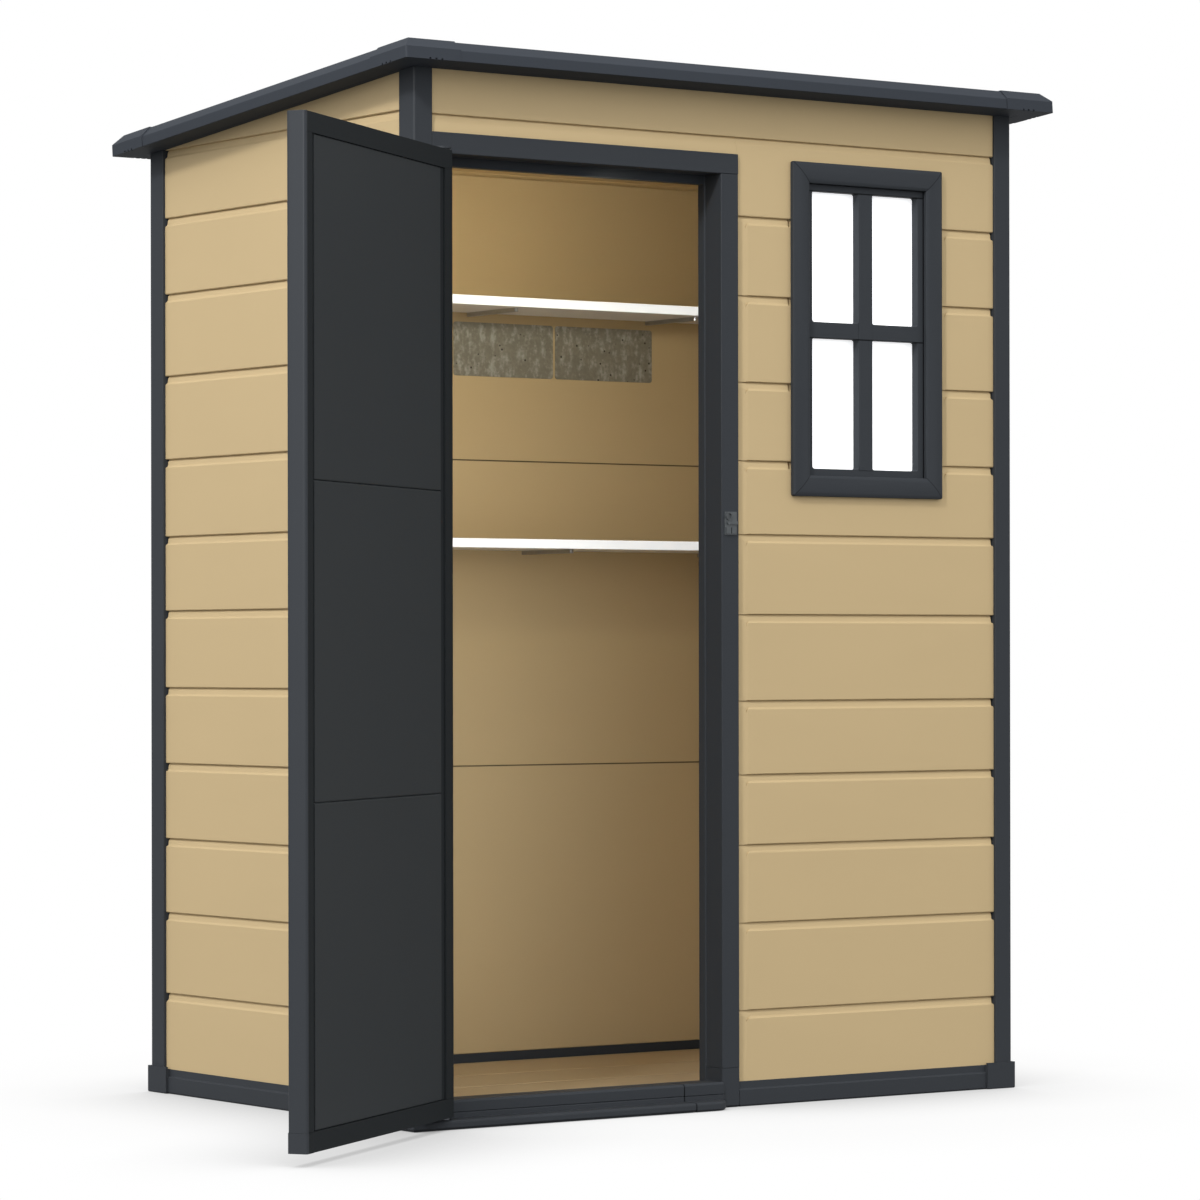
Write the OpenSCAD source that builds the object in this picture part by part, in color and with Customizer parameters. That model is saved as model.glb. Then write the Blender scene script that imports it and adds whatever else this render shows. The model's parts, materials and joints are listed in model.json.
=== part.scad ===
// Resin garden shed with a pent roof, one pivoted door and one window.
// Millimetres, +Z up. The origin is on the ground at the middle of the footprint;
// the front faces -Y. Places are measured from the front left corner (see at_corner).

/* [Body] */
// Width over the corner posts
body_w = 1420; // [1200:1:2400]
// Depth over the corner posts
body_d = 950; // [700:1:1800]
// Height of the underside of the roof at its front edge
roof_front_z = 1937; // [1900:1:2500]
// Fall of the roof towards the back, in degrees
roof_fall = 4.7; // [2:0.1:6]

/* [Walls] */
// Thickness of a wall panel over its planks
wall_t = 20; // [14:1:40]
// How far the plank faces lie behind the faces of the posts
plank_inset = 6; // [5:1:10]
// Depth of the groove above each plank
groove_d = 7; // [3:0.5:10]
// Height from the plank face up to the groove
groove_h = 17; // [12:1:30]
// Height of the step at the top of the plank face
lip_h = 5; // [2:1:8]
// Rounding of a plank's lower edge
plank_r = 2.5; // [1:0.5:5]
// Chamfer inside, where two panels meet
joint_chamfer = 1.5; // [0.5:0.5:4]
// Rounding of a plank's upper corners beside the posts and the trim
corner_r = 7; // [4:1:20]
// Rounding of a plank's upper corners beside the strips
strip_r = 13; // [4:1:20]
// Depth of the step, the corners and the strips beside the jamb and the window
strip_drop = 3; // [1:0.5:5]
// Width of the strip beside the latch jamb
jamb_strip = 17; // [8:1:40]
// Width of the strip beside the window
window_strip = 8; // [4:1:30]
// Width of the ramp from a strip up to the plank face
strip_ramp = 11; // [4:1:20]
// Width of the notch where a groove ends
notch_w = 4; // [2:0.5:10]
// Height of the notch where a groove ends
notch_h = 15; // [6:1:20]
// Depth of the notch where a groove ends
notch_d = 12; // [8:1:13]
// Groove heights on the front wall
front_lines = [183, 350, 499, 633, 774, 939, 1092, 1233, 1383, 1548, 1699, 1849]; // [100:1:1900]
// Groove heights on the side walls
side_lines = [197, 356, 502, 650, 799, 950, 1096, 1248, 1412, 1573, 1723, 1857]; // [100:1:1900]
// Groove heights on the back wall
back_lines = [181, 340, 486, 633, 783, 950, 1110, 1265, 1416, 1573, 1723]; // [100:1:1900]

/* [Base] */
// Height of the base rails outside
rail_h = 48; // [40:1:70]
// Height of the rails' seat, where the wall panels stand
seat_z = 39; // [30:1:60]
// Height of the rails' lower band
band_z = 32; // [20:1:50]
// How far the rails' upper band is set back
band_step = 4; // [1:0.5:4.5]
// Length of a corner foot along each wall
foot_len = 66; // [56:1:90]
// How far the feet stand proud of the posts
foot_proud = 5; // [2:0.5:8]
// Height of the corner feet
foot_h = 52; // [40:1:80]
// Thickness of the floor
floor_t = 20; // [15:1:38]
// Spacing of the floor's seams
seam_pitch = 210; // [80:5:400]
// Width of the floor's seams
seam_w = 5; // [2:1:10]
// Depth of the floor's seams
seam_d = 2; // [1:0.5:5]

/* [Frame] */
// Width of a corner post on the front and back
post_w = 41; // [36:1:54]
// Width of a corner post on the sides
post_side = 50; // [36:1:54]
// Rounding of the posts' outer edge
post_r = 5; // [2:1:8]
// Rounding of the edges beside the walls
frame_r = 2; // [1:0.5:4]
// Left edge of the latch jamb
jamb_x = 699; // [600:1:760]
// Width of the latch jamb
jamb_w = 41; // [30:1:60]
// Depth of the jamb, sill and lintel
jamb_d = 51; // [36:1:70]
// Underside of the lintel
lintel_z = 1777; // [1700:1:1800]
// Height of the lintel
lintel_h = 39; // [25:1:48]
// Depth of the door stop behind the jamb and lintel
stop_d = 20; // [10:1:30]
// How far the stop shows beside the jamb
stop_lip = 2.5; // [1:0.5:10]
// How far the stop shows below the lintel
stop_drop = 17; // [4:1:30]
// Height of the latch jamb's foot
jamb_foot_h = 75; // [55:1:120]
// How far the jamb's foot runs along the sill
jamb_foot_len = 94; // [60:1:160]
// Height of the sill
sill_h = 50; // [44:1:60]
// Chamfer along the sill
sill_chamfer = 4; // [1:0.5:8]
// Height of the line along the sill's face
sill_line_z = 27; // [22:1:36]
// Width and depth of the line along the sill's face
sill_line = 2; // [1:0.5:4]
// Height of the door ledge
ledge_h = 18; // [14:1:18]
// How far the ledge stands out from the posts
ledge_out = 44; // [42:1:60]
// How far the ledge runs past the left corner
ledge_past = 32; // [15:1:50]
// How far the ledge runs back beside the left corner
ledge_back = 16; // [5:1:40]
// Rounding of the ledge's front edge
ledge_r = 6; // [2:1:10]

/* [Door] */
// Thickness of the door leaf
leaf_t = 35; // [28:1:42]
// Gap between the closed leaf and the frame
leaf_gap = 10; // [10:0.5:14]
// Gap under the leaf
leaf_under = 5; // [5:0.5:8]
// How far the closed leaf covers the latch jamb
leaf_cover = 23.5; // [10:0.5:36]
// How far the leaf's top is above the underside of the lintel
leaf_rise = 1; // [0:0.5:6]
// Pivot axis from the left corner
pivot_x = 44.5; // [40:0.5:60]
// Opening of the door as modelled, 0 is closed
door_angle = 145; // [0:1:170]
// Width of the free stile's face
stile_w = 30; // [20:1:50]
// Width of the groove beside the free stile
stile_groove = 11; // [6:1:20]
// Width of the hinge stile's face from the pivot
hinge_stile_w = 32; // [24:1:45]
// Width of the groove beside the hinge stile
hinge_groove = 18; // [8:1:25]
// Depth of both grooves
stile_groove_d = 4; // [2:0.5:6]
// How far the infill panels lie below the stiles' faces
panel_drop = 2; // [0.5:0.5:3.5]
// Chamfer where two infill panels meet
panel_chamfer = 2; // [1:0.5:4]
// Height of the top and bottom rails
door_rail_h = 35; // [25:1:60]
// Rounding of the leaf's free edge
leaf_r = 5; // [2:0.5:8]
// How far the foot cap of the free stile stands proud
door_cap = 1; // [0.5:0.5:2]
// Joint between the lower and middle infill panels
door_joint_low = 612; // [400:1:800]
// Joint between the middle and upper infill panels
door_joint_high = 1158; // [1100:1:1400]

/* [Pivots] */
// Diameter of the pivot pins
pin_d = 10; // [8:0.5:12]
// Clearance of a pin in its bore, all round
pin_play = 0.2; // [0.1:0.05:0.4]
// Depth of a pin in the leaf
pin_in = 38; // [30:1:60]
// Diameter of the pins' collars
collar_d = 22; // [18:1:28]
// Material left under the lower pin
pin_floor = 4; // [3:0.5:6]
// Gap between the leaf and the upper bracket
bracket_gap = 3.3; // [2:0.1:5]
// Thickness of the upper bracket
bracket_t = 4; // [3:0.5:8]
// Rounding of the upper bracket about the pivot
bracket_r = 16; // [14:1:20]

/* [Pull] */
// Centre of the pull from the leaf's free edge
pull_edge = 76; // [70:1:120]
// Height of the pull's centre
pull_z = 1000; // [850:1:1060]
// Width of the pull's dish
pull_w = 40; // [34:1:60]
// Height of the pull's dish
pull_h = 130; // [110:1:150]
// Depth of the pull's dish behind the panel's face
pull_d = 14; // [8:1:18]
// Wall of the pull's dish
pull_t = 2; // [1:0.5:4]
// Flange around the pull's dish
pull_flange = 6; // [3:0.5:10]
// Width of the grip bar
grip_w = 14; // [10:1:20]
// How far the grip bar stands out from the panel
grip_out = 11; // [6:1:14]
// Thickness of the grip bar
grip_t = 6; // [4:0.5:10]
// Length of the grip bar's sloping ends
grip_end = 24; // [15:1:40]

/* [Keeper] */
// Lower edge of the latch keeper
keeper_z = 1090; // [1000:1:1200]
// Width of the latch keeper
keeper_w = 29; // [20:1:36]
// Height of the latch keeper
keeper_h = 44; // [30:1:80]
// Thickness of the keeper's plate
keeper_t = 1.5; // [1:0.5:2]
// How far the keeper's ring, bolt and lugs stand out
keeper_out = 4.5; // [3:0.5:5]
// Radius of the keeper's ring
ring_r = 7; // [4:0.5:9]
// Wall of the keeper's ring
ring_t = 1.6; // [1:0.1:3]
// Height of the keeper's bolt
bolt_h = 6; // [4:0.5:9]
// Height of the bolt's centre over the keeper's lower edge
bolt_z = 23; // [18:0.5:28]
// Diameter of the bolt's knob
knob_d = 8; // [5:0.5:10]
// Width of the keeper's lugs
lug_w = 11; // [6:0.5:12]
// Height of the keeper's lugs
lug_h = 12; // [6:0.5:14]

/* [Window] */
// Left edge of the window trim
win_x = 870; // [820:1:980]
// Lower edge of the window trim
win_z = 1167; // [1100:1:1200]
// Width over the trim
win_w = 371; // [300:1:440]
// Height over the trim
win_h = 644; // [500:1:670]
// Width of the trim
trim_w = 40; // [25:1:60]
// Height of the trim's edges over the planks
trim_edge = 9; // [4:1:16]
// Rise of the trim's crown over its edges
trim_crown = 5; // [2:0.5:8]
// Rounding of the trim's outer corners
trim_r = 4; // [1:0.5:10]
// How far the sash runs under the trim
sash_tuck = 7; // [3:1:12]
// Width of the sash that shows
sash_w = 14; // [10:1:30]
// Depth of the sash face behind the planks
sash_back = 1; // [0.5:0.5:4]
// Thickness of the sash
sash_t = 26; // [20:1:32]
// Width of the upright glazing bar
bar_v = 33; // [16:1:40]
// Width of the level glazing bar
bar_h = 31; // [16:1:40]
// Rounding of the panes' corners
pane_r = 5; // [3:1:20]
// Depth of the pane's face behind the planks
pane_back = 19; // [9:0.5:20]
// Thickness of the pane
pane_t = 4; // [3:0.5:5]
// How far the pane runs behind the sash
pane_lap = 5; // [3:1:9]

/* [Roof] */
// Roof overhang at the front
roof_front = 63; // [55:1:120]
// Roof overhang at the back
roof_back = 47; // [40:1:120]
// Roof overhang at each side
roof_side = 57; // [40:1:120]
// Height of the roof edge's upright face
edge_h = 20; // [10:1:30]
// Width and rise of the roof edge's slope
bevel = 19; // [8:1:30]
// Width of the edge pieces
edge_w = 50; // [44:1:80]
// Length of the corner caps
cap_len = 118; // [80:1:160]
// How far the caps stand proud of the edges
cap_proud = 1.5; // [0.5:0.5:3]
// Rounding of the caps' corner
cap_r = 5; // [2:1:15]
// Diameter of the drain notches in the caps
drain_d = 5; // [3:0.5:8]
// Height of the drain notches
drain_h = 3; // [2:0.5:8]
// Spacing of the drain notches
drain_pitch = 13; // [8:1:20]
// First drain notch from the roof's corner
drain_first = 51; // [25:1:80]
// Thickness of the roof panels
roof_t = 30; // [12:1:36]
// Width of the roof panels' ribs
rib_w = 50; // [20:1:80]
// Height of the roof panels' ribs
rib_h = 7; // [2:1:8]
// Number of ribs on each roof panel
rib_count = 5; // [2:1:9]

/* [Fittings] */
// Depth of the shelves
shelf_d = 200; // [120:1:400]
// Thickness of the shelves
shelf_t = 19; // [12:1:30]
// Height of the upper shelf's top
shelf_upper_z = 1588; // [1400:1:1650]
// Height of the lower shelf's top
shelf_lower_z = 1098; // [700:1:1200]
// Gap between a shelf and each side wall
shelf_gap = 10; // [1:1:30]
// First arm of the upper shelf from the left corner
upper_arm_x = 288; // [60:1:440]
// First arm of the lower shelf from the left corner
lower_arm_x = 425; // [60:1:440]
// Spacing of the shelf arms
arm_pitch = 456; // [200:1:600]
// Length of a shelf arm
arm_len = 175; // [100:1:190]
// Width of a shelf arm
arm_w = 12; // [8:1:30]
// Height of a shelf arm
arm_h = 8; // [5:1:20]
// Left edge of the tool plates
plate_x = 704; // [60:1:800]
// Lower edge of the tool plates
plate_z = 1439; // [1110:1:1450]
// Width of a tool plate
plate_w = 250; // [150:1:300]
// Height of a tool plate
plate_h = 111; // [60:1:115]
// Thickness of a tool plate
plate_t = 2.5; // [1:0.5:4]
// Gap between the tool plates
plate_gap = 6; // [2:1:40]

/* [Hidden] */
$fn = 48;

e = 1;                                   // how far a cut runs past what it cuts
fit = 0.3;                               // gap between pieces that are pushed together
wall_in = plank_inset + wall_t;          // inner face of a wall, from the posts' faces
wall_back = body_d - wall_in;            // inner face of the back wall
jamb_end = jamb_x + jamb_w;
lintel_top = lintel_z + lintel_h;
top_line = front_lines[11];
strip_top = front_lines[10];             // the strips beside the jamb and window end here
lip_z = groove_h - lip_h;                 // from a groove down to the top of the step

roof_w = body_w + 2 * roof_side;
roof_len = (body_d + roof_front + roof_back) / cos(roof_fall);
roof_h = edge_h + bevel;

pivot_y = -leaf_gap - leaf_t / 2;
leaf_z = ledge_h + leaf_under;
leaf_h = lintel_z + leaf_rise - leaf_z;
leaf_w = jamb_x + leaf_cover - pivot_x;
leaf_face = leaf_t / 2;
groove_face = leaf_face - stile_groove_d;
panel_face = leaf_face - panel_drop;
panel_x0 = hinge_stile_w + hinge_groove;
panel_x1 = leaf_w - stile_w - stile_groove;
pin_bore = pin_d + 2 * pin_play;

hole_w = win_w - 2 * trim_w + 2 * sash_tuck;
hole_h = win_h - 2 * trim_w + 2 * sash_tuck;
glass_in = sash_tuck + sash_w;           // from the wall's hole to the first pane
glass_w = hole_w - 2 * glass_in;
glass_h = hole_h - 2 * glass_in;

dark = [0.235, 0.247, 0.259];
sand = [0.745, 0.659, 0.502];
deck = [0.72, 0.63, 0.47];
white = [0.94, 0.94, 0.94];
zinc = [0.7, 0.7, 0.72];

// Points of an arc, for outlines
function arc(cx, cy, r, a0, a1, n = 6) =
    [for (i = [0:n]) let (a = a0 + (a1 - a0) * i / n) [cx + r * cos(a), cy + r * sin(a)]];

function rounded_box(w, h, r) =
    concat(arc(w - r, r, r, 270, 360), arc(w - r, h - r, r, 0, 90),
           arc(r, h - r, r, 90, 180), arc(r, r, r, 180, 270));

// Height of the roof's underside at a distance y behind the front corner
function roof_z(y) = roof_front_z - (y + roof_front) * tan(roof_fall);

module at_corner() { translate([-body_w / 2, -body_d / 2, 0]) children(); }

// An outline in y and z, extruded along x
module along_x(len) { rotate([90, 0, 90]) linear_extrude(len) children(); }

// An outline in x and z, extruded from y = 0 towards the back
module along_y(len) { translate([0, len, 0]) rotate([90, 0, 0]) linear_extrude(len) children(); }

// Cuts the tops of walls and posts off at the roof's underside
module below_roof() {
    intersection() {
        union() children();
        at_corner() translate([-roof_side, 0, 0]) along_x(roof_w)
            polygon([[-roof_front, 0], [body_d + roof_back, 0],
                     [body_d + roof_back, roof_z(body_d + roof_back)], [-roof_front, roof_front_z]]);
    }
}

// ---- walls: the outline has y = 0 at the plank faces and grows inwards ----

function plank_top(g) =
    [[0, g - groove_h], [strip_drop, g - lip_z], [strip_drop + 1, g - lip_z / 3], [groove_d, g]];
function plank_foot(g) = concat([[plank_r, g]], arc(plank_r, g + plank_r, plank_r, 270, 180, 3));
function inner_edge(z0, z1) =
    [[wall_t - joint_chamfer, z1], [wall_t, z1 - joint_chamfer],
     [wall_t, z0 + joint_chamfer], [wall_t - joint_chamfer, z0]];
function plank_outline(z0, lines, z1, groove_on_top) =
    concat(z0 == seat_z ? [[0, z0]] : plank_foot(z0),
           [for (g = lines) each concat(plank_top(g), plank_foot(g))],
           groove_on_top ? plank_top(z1) : [[0, z1]],
           inner_edge(z0, z1));

// What is cut from a wall's left end at one groove
module groove_end(g) {
    translate([-e, -e, g - notch_h]) cube([notch_w + e, notch_d + e, notch_h]);
    plank_corner(g, corner_r);
}

// Rounds a plank's upper left corner
module plank_corner(g, r) {
    translate([0, -e, g - lip_z]) along_y(strip_drop + e)
        polygon(concat([[0, 0]], arc(r, -r, r, 180, 90)));
}

// The lowered strip beside a frame, from z0 to z1
module strip(w, z0, z1) {
    translate([0, 0, z0]) linear_extrude(z1 - z0)
        polygon([[-e, -e], [-e, strip_drop], [w, strip_drop],
                 [w + strip_ramp * (1 + e / strip_drop), -e]]);
}

module plank_wall(len, z0, lines, z1, groove_on_top = true) {
    color(sand) difference() {
        along_x(len) polygon(plank_outline(z0, lines, z1, groove_on_top));
        for (g = groove_on_top ? concat(lines, [z1]) : lines) {
            groove_end(g);
            translate([len, 0, 0]) mirror([1, 0, 0]) groove_end(g);
        }
    }
}

module on_front(x) { at_corner() translate([x, plank_inset, 0]) children(); }
module on_back(x) { at_corner() translate([x, body_d - plank_inset, 0]) mirror([0, 1, 0]) children(); }
module on_left(y) {
    at_corner() translate([plank_inset, y, 0]) mirror([1, 0, 0]) rotate([0, 0, 90]) children();
}
module on_right(y) { at_corner() translate([body_w - plank_inset, y, 0]) rotate([0, 0, 90]) children(); }

// The lower left corner of the window's hole in the wall
module at_window_hole() {
    on_front(win_x + trim_w - sash_tuck) translate([0, 0, win_z + trim_w - sash_tuck]) children();
}

// Each wall is three panels of four planks, and what is above them
function panel_base(lines, n) = n == 0 ? seat_z : lines[4 * n - 1];
function panel_lines(lines, n) = [for (i = [0:2]) lines[4 * n + i]];

module front_panel(n) {
    z0 = panel_base(front_lines, n);
    z1 = front_lines[4 * n + 3];
    lines = concat(panel_lines(front_lines, n), [z1]);
    win_end = win_x + win_w;
    difference() {
        color(sand) on_front(jamb_end) along_x(body_w - post_w - jamb_end)
            polygon(plank_outline(z0, panel_lines(front_lines, n), z1, true));
        at_window_hole() translate([0, -wall_in, 0]) cube([hole_w, 2 * wall_in, hole_h]);
        on_front(jamb_end) strip(jamb_strip, z0 - e, min(z1 + e, strip_top));
        if (z1 > win_z) on_front(win_end) strip(window_strip, max(z0 - e, win_z), min(z1 + e, strip_top));
        for (g = lines) {
            on_front(body_w - post_w) mirror([1, 0, 0]) groove_end(g);
            if (g <= strip_top) on_front(jamb_end + jamb_strip + strip_ramp / 2) plank_corner(g, strip_r);
            if (g > win_z && g <= strip_top) {
                on_front(win_x) mirror([1, 0, 0]) groove_end(g);
                on_front(win_end + window_strip + strip_ramp / 2) plank_corner(g, strip_r);
            }
        }
    }
}

module front_top_board() {
    below_roof() color(sand) {
        on_front(post_w) along_x(body_w - 2 * post_w)
            polygon(concat(plank_foot(top_line), [[0, roof_front_z], [wall_t, roof_front_z]],
                           [[wall_t, top_line]]));
        on_front(post_w) along_x(jamb_end - post_w)
            polygon(concat([[0, lintel_top]], plank_top(top_line),
                           [[wall_t, top_line], [wall_t, lintel_top]]));
    }
}

module side_planks(n) {
    plank_wall(body_d - 2 * post_side, panel_base(side_lines, n), panel_lines(side_lines, n),
               side_lines[4 * n + 3]);
}

module gable() {
    z0 = side_lines[11];
    color(sand) along_x(body_d - 2 * post_side)
        polygon(concat(plank_foot(z0), [[0, roof_front_z], [wall_t, roof_front_z], [wall_t, z0]]));
}

module back_panel(n) {
    z1 = n < 2 ? back_lines[4 * n + 3] : roof_front_z;
    below_roof() on_back(post_w)
        plank_wall(body_w - 2 * post_w, panel_base(back_lines, n), panel_lines(back_lines, n), z1, n < 2);
}

// ---- base ----

module floor_deck() {
    color(deck) at_corner() difference() {
        linear_extrude(floor_t)
            polygon([[wall_in, jamb_d], [jamb_end, jamb_d], [jamb_end, wall_in], [body_w - wall_in, wall_in],
                     [body_w - wall_in, wall_back], [wall_in, wall_back]]);
        for (y = [jamb_d + seam_pitch : seam_pitch : wall_back - seam_w])
            translate([0, y, floor_t - seam_d]) cube([body_w, seam_w, floor_t]);
    }
}

// A base rail: a seat for the wall panels behind an outer lip
module rail_bar(len) {
    color(dark) along_x(len)
        polygon([[0, 0], [0, band_z], [band_step, band_z + band_step / 2], [band_step, rail_h],
                 [plank_inset, rail_h], [plank_inset, seat_z], [wall_in, seat_z], [wall_in, 0]]);
}

module base_rails() {
    at_corner() {
        translate([jamb_end, 0, 0]) rail_bar(body_w - foot_len - jamb_end);
        translate([foot_len, body_d, 0]) mirror([0, 1, 0]) rail_bar(body_w - 2 * foot_len);
        translate([0, foot_len, 0]) mirror([1, 0, 0]) rotate([0, 0, 90]) rail_bar(body_d - 2 * foot_len);
        translate([body_w, foot_len, 0]) rotate([0, 0, 90]) rail_bar(body_d - 2 * foot_len);
    }
}

// An angle around the corner, from the foot's outer face to a depth t
module foot_angle(t, h) {
    p = foot_proud;
    linear_extrude(h)
        polygon(concat(arc(-p + frame_r, -p + frame_r, frame_r, 180, 270),
                       [[foot_len, -p], [foot_len, t], [t, t], [t, foot_len], [-p, foot_len]]));
}

module corner_foot() {
    color(dark) {
        foot_angle(wall_in, seat_z);
        foot_angle(plank_inset, rail_h);
        foot_angle(0, foot_h);
        linear_extrude(rail_h)
            polygon([[0, 0], [post_w, 0], [post_w, wall_in], [wall_in, wall_in],
                     [wall_in, post_side], [0, post_side]]);
    }
}

module corners() {
    at_corner() {
        children();
        translate([body_w, 0, 0]) mirror([1, 0, 0]) children();
        translate([0, body_d, 0]) mirror([0, 1, 0]) children();
        translate([body_w, body_d, 0]) mirror([1, 0, 0]) mirror([0, 1, 0]) children();
    }
}

module corner_post() {
    r = frame_r;
    color(dark) translate([0, 0, rail_h]) linear_extrude(roof_front_z)
        polygon(concat(arc(post_r, post_r, post_r, 180, 270),
                       arc(post_w - r, r, r, 270, 360, 3),
                       [[post_w, wall_in], [wall_in, wall_in], [wall_in, post_side]],
                       arc(r, post_side - r, r, 90, 180, 3)));
}

module sill_bar(len) {
    y0 = -foot_proud;
    half = sill_line / 2;
    along_x(len)
        polygon([[y0, 0], [y0, sill_line_z - half], [y0 + sill_line, sill_line_z], [y0, sill_line_z + half],
                 [y0, sill_h - sill_chamfer], [y0 + sill_chamfer, sill_h], [jamb_d, sill_h], [jamb_d, 0]]);
}

module door_sill() {
    color(dark) at_corner() translate([foot_len, 0, 0]) sill_bar(jamb_x - jamb_foot_len - foot_len);
}

// The ledge's outline from a line at the wall, growing outwards
function ledge_outline(out) =
    concat([[0, 0], [out, 0]], arc(out - ledge_r, ledge_h - ledge_r, ledge_r, 0, 90), [[0, ledge_h]]);

module ledge_bar(len) {
    out = ledge_out - foot_proud;
    translate([0, -foot_proud, 0]) mirror([0, 1, 0]) along_x(len) polygon(ledge_outline(out));
}

module door_ledge() {
    color(dark) at_corner() difference() {
        union() {
            translate([-ledge_past, 0, 0]) ledge_bar(jamb_x - jamb_foot_len + ledge_past);
            translate([-ledge_past, -2 * foot_proud, 0])
                cube([ledge_past - foot_proud, ledge_back + 2 * foot_proud, ledge_h]);
        }
        translate([pivot_x, pivot_y, pin_floor]) cylinder(d = pin_bore, h = ledge_h);
    }
}

// The jamb's foot with the end of the sill and the rounded end of the ledge
module jamb_foot() {
    turn_x = jamb_x - ledge_out;
    foot_x = jamb_x - jamb_foot_len;
    color(dark) at_corner() {
        translate([foot_x, 0, 0]) {
            sill_bar(jamb_foot_len);
            ledge_bar(turn_x - foot_x);
        }
        translate([turn_x, -foot_proud, 0]) rotate([0, 0, -90])
            rotate_extrude(angle = 90) polygon(ledge_outline(ledge_out - foot_proud));
        translate([jamb_x, 0, 0]) linear_extrude(jamb_foot_h)
            polygon(concat(jamb_front(), [[jamb_w, jamb_d], [0, jamb_d]]));
    }
}

// ---- door frame ----

// The rounded front of the jamb and its foot, seen from above
function jamb_front() =
    concat(arc(frame_r, frame_r, frame_r, 180, 270), arc(jamb_w - frame_r, frame_r, frame_r, 270, 360, 3));

// The jamb stands on its foot, and the stop behind it on the floor
module latch_jamb() {
    color(dark) at_corner() translate([jamb_x, 0, 0]) {
        translate([0, 0, jamb_foot_h]) linear_extrude(lintel_z - jamb_foot_h)
            polygon(concat(jamb_front(), [[jamb_w, jamb_d], [0, jamb_d]]));
        translate([-stop_lip, jamb_d, floor_t]) cube([jamb_w + stop_lip, stop_d, lintel_z - floor_t]);
    }
}

module lintel() {
    r = frame_r;
    color(dark) at_corner() translate([post_w, 0, 0]) {
        along_x(jamb_end - post_w)
            polygon(concat(arc(r, lintel_z + r, r, 270, 180), arc(r, lintel_top - r, r, 180, 90),
                           [[jamb_d + stop_d, lintel_top], [jamb_d + stop_d, lintel_z]]));
        translate([0, jamb_d, lintel_z - stop_drop])
            cube([jamb_x - stop_lip - post_w, stop_d, stop_drop]);
    }
}

module pivot_bracket() {
    color(dark) at_corner() difference() {
        translate([pivot_x, 0, leaf_z + leaf_h + bracket_gap]) linear_extrude(bracket_t)
            polygon(concat([[bracket_r, 0], [-bracket_r, 0]], arc(0, pivot_y, bracket_r, 180, 360, 12)));
        translate([pivot_x, pivot_y, leaf_z + leaf_h]) cylinder(d = pin_bore, h = leaf_h);
    }
}

// A plate with a ring, a short bolt with its knob, and two lugs
module latch_keeper() {
    out = keeper_out - keeper_t;
    margin = (keeper_w - 2 * lug_w) / 3;
    ring_x = margin + ring_r;
    bolt_x = margin + lug_w;
    color(dark) at_corner() translate([jamb_x + (jamb_w - keeper_w) / 2, -keeper_t, keeper_z]) {
        along_y(keeper_t) polygon(rounded_box(keeper_w, keeper_h, keeper_t));
        translate([ring_x, 0, keeper_h - ring_r - keeper_t]) rotate([90, 0, 0]) difference() {
            cylinder(r = ring_r, h = out);
            cylinder(r = ring_r - ring_t, h = out + e);
        }
        translate([bolt_x, -out, bolt_z - bolt_h / 2]) cube([keeper_w - bolt_x, out, bolt_h]);
        translate([bolt_x - knob_d / 2, 0, bolt_z]) rotate([90, 0, 0]) cylinder(d = knob_d, h = out);
        for (x = [margin, 2 * margin + lug_w]) translate([x, -out, margin]) cube([lug_w, out, lug_h]);
    }
}

// ---- window ----

// One side of the trim, with a crowned face and mitred ends
module trim_bar(len) {
    r = (trim_w * trim_w / 4 + trim_crown * trim_crown) / 2 / trim_crown;
    a = asin(trim_w / 2 / r);
    top = trim_edge + trim_crown;
    intersection() {
        mirror([0, 1, 0]) along_x(len)
            polygon(concat([[0, 0]], arc(top - r, trim_w / 2, r, -a, a, 8), [[0, trim_w]]));
        translate([0, -top - e, 0]) along_y(top + 2 * e)
            polygon([[0, 0], [len, 0], [len - trim_w, trim_w], [trim_w, trim_w]]);
    }
}

module window_trim() {
    color(dark) on_front(win_x) translate([0, 0, win_z]) intersection() {
        union() {
            trim_bar(win_w);
            translate([0, 0, win_h]) mirror([0, 0, 1]) trim_bar(win_w);
            translate([0, 0, win_h]) rotate([0, 90, 0]) trim_bar(win_h);
            translate([win_w, 0, win_h]) mirror([1, 0, 0]) rotate([0, 90, 0]) trim_bar(win_h);
        }
        translate([0, -wall_t, 0]) along_y(2 * wall_t) polygon(rounded_box(win_w, win_h, trim_r));
    }
}

module window_sash() {
    pane_w = (glass_w - bar_v) / 2;
    pane_h = (glass_h - bar_h) / 2;
    color(dark) at_window_hole() {
        difference() {
            translate([fit, sash_back, fit]) cube([hole_w - 2 * fit, sash_t, hole_h - 2 * fit]);
            for (x = [0, pane_w + bar_v]) for (z = [0, pane_h + bar_h])
                translate([glass_in + x, 0, glass_in + z]) along_y(sash_t)
                    polygon(rounded_box(pane_w, pane_h, pane_r));
            translate([glass_in - pane_lap, pane_back, glass_in - pane_lap])
                cube([glass_w + 2 * pane_lap, sash_t, glass_h + 2 * pane_lap]);
        }
        translate([(hole_w - bar_v) / 2, 0, glass_in - e]) cube([bar_v, pane_back, glass_h + 2 * e]);
    }
}

module window_pane() {
    lap = glass_in - pane_lap + fit;
    color(white) at_window_hole() translate([lap, pane_back + fit, lap])
        cube([hole_w - 2 * lap, pane_t, hole_h - 2 * lap]);
}

// ---- roof: drawn flat, then tipped back ----

module on_roof() {
    at_corner() translate([-roof_side, -roof_front, roof_front_z]) rotate([-roof_fall, 0, 0]) children();
}

// Section over the whole roof, grown by g
function edge_outline(len, g) =
    [[-g, 0], [-g, edge_h + g], [bevel - g, roof_h + g], [len - bevel + g, roof_h + g],
     [len + g, edge_h + g], [len + g, 0]];

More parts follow.
